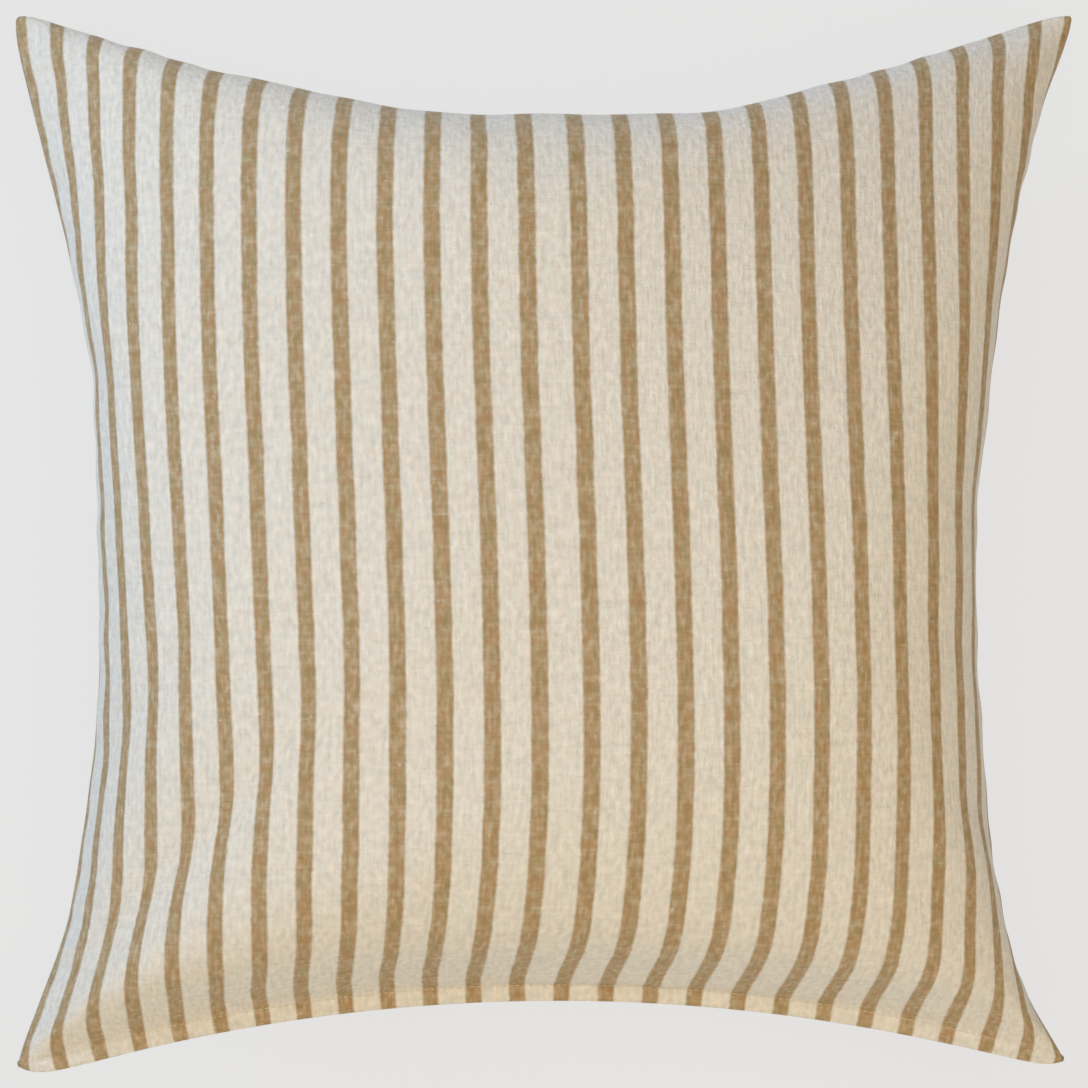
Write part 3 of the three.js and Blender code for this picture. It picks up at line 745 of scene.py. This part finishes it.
# ------------------------------------------------------------------ seam and zip stitching
# Lockstitch in cream polyester thread, one stitch every 3 mm: just inside the folds of the left, top
# and right seams, along the sewn-shut ends of the bottom edge, and through cloth and tape at the zip.
stitch_pitch = 0.003
stitch_length = 0.0026
thread_radius = 0.00019
fold_inset = 0.00125


def even_points(line, pitch, start_share, end_share):
    """Points a pitch apart along a line of points, found on its running length, with tangents."""
    small = 0.0005
    steps = np.linalg.norm(np.diff(line, axis=0), axis=1)
    length = np.concatenate([[0], np.cumsum(steps)])
    start, end = start_share * length[-1], end_share * length[-1]
    count = max(2, int((end - start) / pitch))
    at = start + (np.arange(count) + 0.5) * (end - start) / count
    place, ahead = (
        np.stack([np.interp(at + shift, length, line[:, k]) for k in range(3)], 1)
        for shift in (0, small)
    )
    tangent = ahead - place
    return place, tangent / np.linalg.norm(tangent, axis=1, keepdims=True)


def stitch_row(name, line, side, length, radius, arch, shares=(0.0, 1.0)):
    """One mesh of many stitches. Each is a spindle about the line, its radius the square root of a
    sine from end to end, raised in its middle by an arch and closed by a point at either end."""
    place, tangent = even_points(line, stitch_pitch, *shares)
    count = len(place)
    t = np.array([0.04, 0.25, 0.5, 0.75, 0.96])
    sides = 6
    body = len(t) * sides
    angle = np.linspace(0, 2 * np.pi, sides + 1)[:-1]
    up = np.array([[0.0, 0.0, float(side)]])
    across = np.cross(up, tangent)
    across /= np.linalg.norm(across, axis=1, keepdims=True)
    high = np.cross(tangent, across)
    middle = place[:, None] + tangent[:, None] * ((t - 0.5) * length)[None, :, None]
    middle = middle + high[:, None] * (arch * np.sin(np.pi * t))[None, :, None]
    wide = radius * np.sqrt(np.sin(np.pi * t))
    ring = (
        np.cos(angle)[None, None, :, None] * across[:, None, None]
        + np.sin(angle)[None, None, :, None] * high[:, None, None]
    )
    rings = middle[:, :, None] + wide[None, :, None, None] * ring
    poles = place[:, None] + tangent[:, None] * np.array([-0.5, 0.5])[None, :, None] * length
    points = np.concatenate([rings.reshape(count, body, 3), poles], 1)
    walls, caps = tube_faces(counted(len(t), sides), body)
    offset = (body + 2) * np.arange(count)[:, None, None]
    quads = (walls[None] + offset).reshape(-1, 4).tolist()
    ends = (caps[None] + offset).reshape(-1, 3).tolist()
    return mesh_object(name, points.reshape(-1, 3), quads + ends)


def cream_thread():
    """Twisted thread: a sine of a slanting coordinate for the plies, and noise for the loose fibres."""
    made, shader, start = coated("cream thread", 0.8)
    x, y, z = (start.node("ShaderNodeSeparateXYZ", {}, {0: start}, axis) for axis in (0, 1, 2))
    ply = ((x + y + z * 1.7) * 11000.0).sine()
    fibre = start.noise(3000.0, 2.0)
    share = (0.5 + ply * 0.25 + (fibre - 0.5) * 0.8).step(0.0, 1.0)
    joined(shader, "Base Color", share.tint((0.56, 0.49, 0.37, 1), (0.78, 0.73, 0.62, 1)))
    joined(shader, "Roughness", 0.72 + fibre * 0.16)
    relief(shader, ply + fibre, 0.4, 0.0001)
    return made


thread = cream_thread()
inside = {"left": (fold_inset, 0), "right": (-fold_inset, 0), "top": (0, -fold_inset)}
seams = dict(zip(("left", "right", "bottom", "top"), front_lines))
seam_shares = (0.035, 0.965)
for which, (x, y) in inside.items():
    line = seams[which] + np.array([x, y, 0])
    line[:, 2] = seam_height
    row = stitch_row(f"{which}_seam_thread", line, 1, stitch_length, thread_radius, 0, seam_shares)
    row.data.materials.append(thread)
    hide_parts(f"{which}_seam_stitching")
    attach(row, "pillow")
shut_from, shut_to = 0.2095, 0.2285
shut_row_inset = 0.00785
for which, side in (("left", -1), ("right", 1)):
    run = side * np.linspace(shut_from, shut_to, 40)
    x, y = along_zip(run, shut_row_inset * lap_share(run / drawn_half))
    line = np.stack([x, y, seam_height + 0 * x], 1)
    row = stitch_row(f"bottom_{which}_seam_thread", line, 1, stitch_length, thread_radius, 0)
    row.data.materials.append(thread)
    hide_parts(f"bottom_{which}_seam_stitching")
    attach(row, "pillow")
zip_row_inset = 0.0076
for which, side in (("front", 1), ("back", -1)):
    run = np.linspace(-tape_reach, tape_reach, 200)
    x, y = along_zip(run, zip_row_inset)
    z = seam_height + side * (seam_gap + lip_rise * closing(run / drawn_half) + lap_ply + 0.0003)
    row = stitch_row(f"{which}_zip_thread", np.stack([x, y, z], 1), side, 0.0024, 0.00022, 0.00012)
    row.data.materials.append(thread)
    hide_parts(f"zipper_stitching_{which}")
    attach(row, "pillow")

# ------------------------------------------------------------------ insert casing
# The insert's case: two squares of close plain white cotton, sewn on all four sides with the raw
# edges inside, smaller than the cover and rounder at its corners. The filling swells it out.
casing_gap = 0.0007
casing_thickness = 0.0004
casing_across = 0.905
casing_tall = 0.965
casing_depths = (0.004, 0.0075)
pillow_middle = np.array([-0.004, -0.0065, seam_height])


def nested(points, side, across, tall, gap, corner_ease):
    """The cover's swollen cloth, every second row and column, drawn in towards its middle: its plan
    is scaled by across, its height above the seam by tall, and each corner is eased inwards by an
    exponential of its distance from the corner."""
    slack, corner_reach = 0.006, 0.022
    shape = points[::2, ::2].copy()
    middle = pillow_middle[:2]
    shape[..., :2] = middle + (shape[..., :2] - middle) * across
    height = np.maximum(side * (shape[..., 2] - seam_height) - slack, 0)
    shape[..., 2] = seam_height + side * (gap + height * tall)
    s = np.linspace(-1, 1, shape.shape[0])
    away = (2 - np.abs(s)[:, None] - np.abs(s)[None]) * panel_size / 2
    ease = corner_ease * np.exp(-away / corner_reach)
    shape[..., 0] -= np.sign(s)[:, None] * ease
    shape[..., 1] -= np.sign(s)[None] * ease
    shape[[0, -1], :, 2] = seam_height + side * gap
    shape[:, [0, -1], 2] = seam_height + side * gap
    return smoothed(shape, 4)


def plain_cotton():
    """Fine plain weave from the product of two sines, softened by noise at two sizes."""
    made, shader, start = coated("white cotton", 0.9)
    across, along = on_cloth(start)
    weave = (across * 9.0).sine() * (along * 9.0).sine()
    yarn = start.point(across * 1.2, along * 0.06).noise(1.0, 2.0) - 0.5
    crease = start.point(across * 0.05, along * 0.05, 3.0).noise(1.0, 3.0) - 0.5
    share = (0.5 + weave * 0.12 + yarn * 0.5 + crease * 0.5).step(0.0, 1.0)
    joined(shader, "Base Color", share.tint((0.72, 0.71, 0.67, 1), (0.87, 0.86, 0.83, 1)))
    joined(shader, "Roughness", 0.88 + yarn * 0.1)
    relief(shader, weave + yarn * 2 + crease * 3, 0.4, 0.0003)
    return made


cotton = plain_cotton()
casing_points = {}
for which, side, cover_points in (("front", 1, front_points), ("back", -1, back_points)):
    shell = nested(cover_points, side, casing_across, casing_tall, casing_gap, corner_ease=0.009)
    casing_points[which] = shell
    lines = [shell[0], shell[-1], shell[:, 0], shell[:, -1]]
    hem = []
    for depth in reversed(casing_depths):
        row = shell[:, 0].copy()
        ends = 0.25 + 0.75 * (1 - np.abs(np.linspace(-1, 1, len(row))) ** 12)
        row[:, 1] += depth * ends
        hem.append(row)
    casing = sewn_panel(
        f"insert_case_{which}", shell, lines, side, hem, casing_depths, casing_gap
    )
    woven_finish(casing, casing_thickness)
    casing.data.materials.append(cotton)
    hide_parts(f"insert_casing_{which}")
    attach(casing, "pillow")

# ------------------------------------------------------------------ insert stitching
# The same cream thread round the case, and in the middle of its bottom edge the seam that closes it
# once it is filled.
case_front = casing_points["front"]
case_left, case_right, case_bottom, case_top = (
    case_front[0], case_front[-1], case_front[:, 0], case_front[:, -1]
)
half_bottom = len(case_bottom) // 2
closing_half = 0.070
bottom_cell = panel_size * casing_across / (len(case_bottom) - 1)
closing_cells = int(round(closing_half / bottom_cell))
loop = np.concatenate([
    case_bottom[: half_bottom - closing_cells][::-1], case_left[1:], case_top[1:],
    case_right[::-1][1:], case_bottom[half_bottom + closing_cells + 1:][::-1][1:],
])
inside_fold = 0.9935
for name, line, node in (
    ("insert_seam_thread", loop, "insert_seam_stitching"),
    (
        "insert_closing_thread",
        case_bottom[half_bottom - closing_cells: half_bottom + closing_cells + 1],
        "insert_closing_stitching",
    ),
):
    line = pillow_middle + (line - pillow_middle) * inside_fold
    line[:, 2] = seam_height
    row = stitch_row(name, line, 1, stitch_length, 0.00015, 0)
    row.data.materials.append(thread)
    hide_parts(node)
    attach(row, "pillow")

# ------------------------------------------------------------------ insert filling
# A loose ball of siliconised fibre that fills the case. It takes the case's shape, a little inside
# it, with the soft lumps of teased fibre.


def fibre_ball(front, back):
    """The two halves of the case drawn in together and joined along their shared edge, with lumps
    from crossing waves along the direction away from the middle."""
    inside_case = np.array([0.945, 0.945, 0.972])
    halves = []
    for shell in (front, back):
        half = pillow_middle + (shell - pillow_middle) * inside_case
        rng = np.random.default_rng(5)
        lumps = np.zeros(half.shape[:2])
        for _ in range(18):
            wave = rng.normal(0, 1, 3)
            wave *= rng.uniform(60, 190) / np.linalg.norm(wave)
            lumps += 0.0004 * np.sin(half @ wave + rng.uniform(0, 2 * np.pi))
        away = half - pillow_middle
        away /= np.linalg.norm(away, axis=-1, keepdims=True)
        halves.append(half - away * (0.0012 + lumps)[..., None])
    count = front.shape[0]
    edge = np.zeros((count, count), bool)
    edge[[0, -1]] = True
    edge[:, [0, -1]] = True
    halves[0][edge, 2] = seam_height
    at_front = counted(count, count)
    at_back = at_front.copy()
    at_back[~edge] = count * count + np.arange((~edge).sum())
    points = np.concatenate([halves[0].reshape(-1, 3), halves[1][~edge]])
    faces = np.concatenate([quads_over(at_front), quads_over(at_back, True)])
    return mesh_object("filling", points, faces)


def teased_fibre():
    """White fibre: thin bent strands from noise warped by a slower noise, over soft cloudy tufts."""
    made, shader, start = coated("white fibre", 0.95)
    bend = start.noise(60.0, 2.0) - 0.5
    strand = start.node("ShaderNodeVectorMath", {"operation": "ADD"}, {0: start, 1: bend * 0.03})
    hair = strand.node("ShaderNodeMapping", {}, {0: strand, 3: (1.0, 7.0, 3.0)}).noise(180.0, 4.0, 0.7)
    tuft = start.noise(45.0, 3.0)
    share = (hair * 0.6 + tuft * 0.4).step(0.3, 0.7)
    joined(shader, "Base Color", share.tint((0.74, 0.74, 0.72, 1), (0.93, 0.93, 0.91, 1)))
    joined(shader, "Roughness", 0.88 + hair * 0.1)
    relief(shader, hair + tuft * 2, 0.7, 0.0012)
    return made


filling = fibre_ball(casing_points["front"], casing_points["back"])
rounded(filling)
filling.data.materials.append(teased_fibre())
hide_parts("insert_filling")
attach(filling, "pillow")

# ------------------------------------------------------------------ studio
# A plain pale floor that glows, so that it is even, a large warm light overhead, a cool one like a
# window at the upper left, a weak warm one beyond the zip, and a camera above the pillow, a few
# degrees to its left.
floor_tone = (0.785, 0.785, 0.785, 1)
camera_distance = 1.45
camera_lean = math.radians(3.0)
view_width = 0.495

floor_half = 6
floor_corners = [(-1, -1, 0), (1, -1, 0), (1, 1, 0), (-1, 1, 0)]
floor = mesh_object("floor", np.array(floor_corners) * floor_half, [[0, 1, 2, 3]])
floor_finish, floor_shader, _ = coated("pale floor", 1.0)
floor_shader.inputs["Base Color"].default_value = (0.12, 0.12, 0.12, 1)
floor_shader.inputs["Specular IOR Level"].default_value = 0.0
floor_shader.inputs["Emission Color"].default_value = floor_tone
floor_shader.inputs["Emission Strength"].default_value = 0.875
floor.data.materials.append(floor_finish)


def soft_light(name, place, size, power, tone):
    """A square area light of that size, aimed at the middle of the pillow."""
    made = bpy.data.lights.new(name, "AREA")
    made.size = size
    made.energy = power
    made.color = tone
    lamp = bpy.data.objects.new(name, made)
    lamp.location = place
    aim = np.array([0, 0, 0.1]) - np.array(place)
    spin = math.atan2(aim[1], aim[0])
    fall = math.atan2(math.hypot(aim[0], aim[1]), -aim[2])
    lamp.rotation_euler = (0, -fall, spin)
    bpy.context.scene.collection.objects.link(lamp)


soft_light("key light", (-1.4, 0.85, 1.0), 1.1, 19.5, (0.42, 0.67, 1.0))
soft_light("low light", (0.3, -1.5, 1.0), 1.2, 6.5, (1.0, 0.93, 0.72))
soft_light("top light", (0, 0, 2.4), 2.0, 32.0, (1.0, 0.86, 0.65))
world = bpy.data.worlds.new("studio air")
world.use_nodes = True
world.node_tree.nodes["Background"].inputs["Color"].default_value = (1.0, 0.90, 0.76, 1)
world.node_tree.nodes["Background"].inputs["Strength"].default_value = 0.18
bpy.context.scene.world = world
bpy.context.scene.view_settings.view_transform = "Standard"

lens = bpy.data.cameras.new("camera")
lens.angle = 2 * math.atan(view_width / 2 / camera_distance)
camera = bpy.data.objects.new("camera", lens)
camera.location = (
    -camera_distance * math.sin(camera_lean), 0, seam_height + camera_distance * math.cos(camera_lean)
)
camera.rotation_euler = (0, -camera_lean, 0)
bpy.context.scene.collection.objects.link(camera)
bpy.context.scene.camera = camera
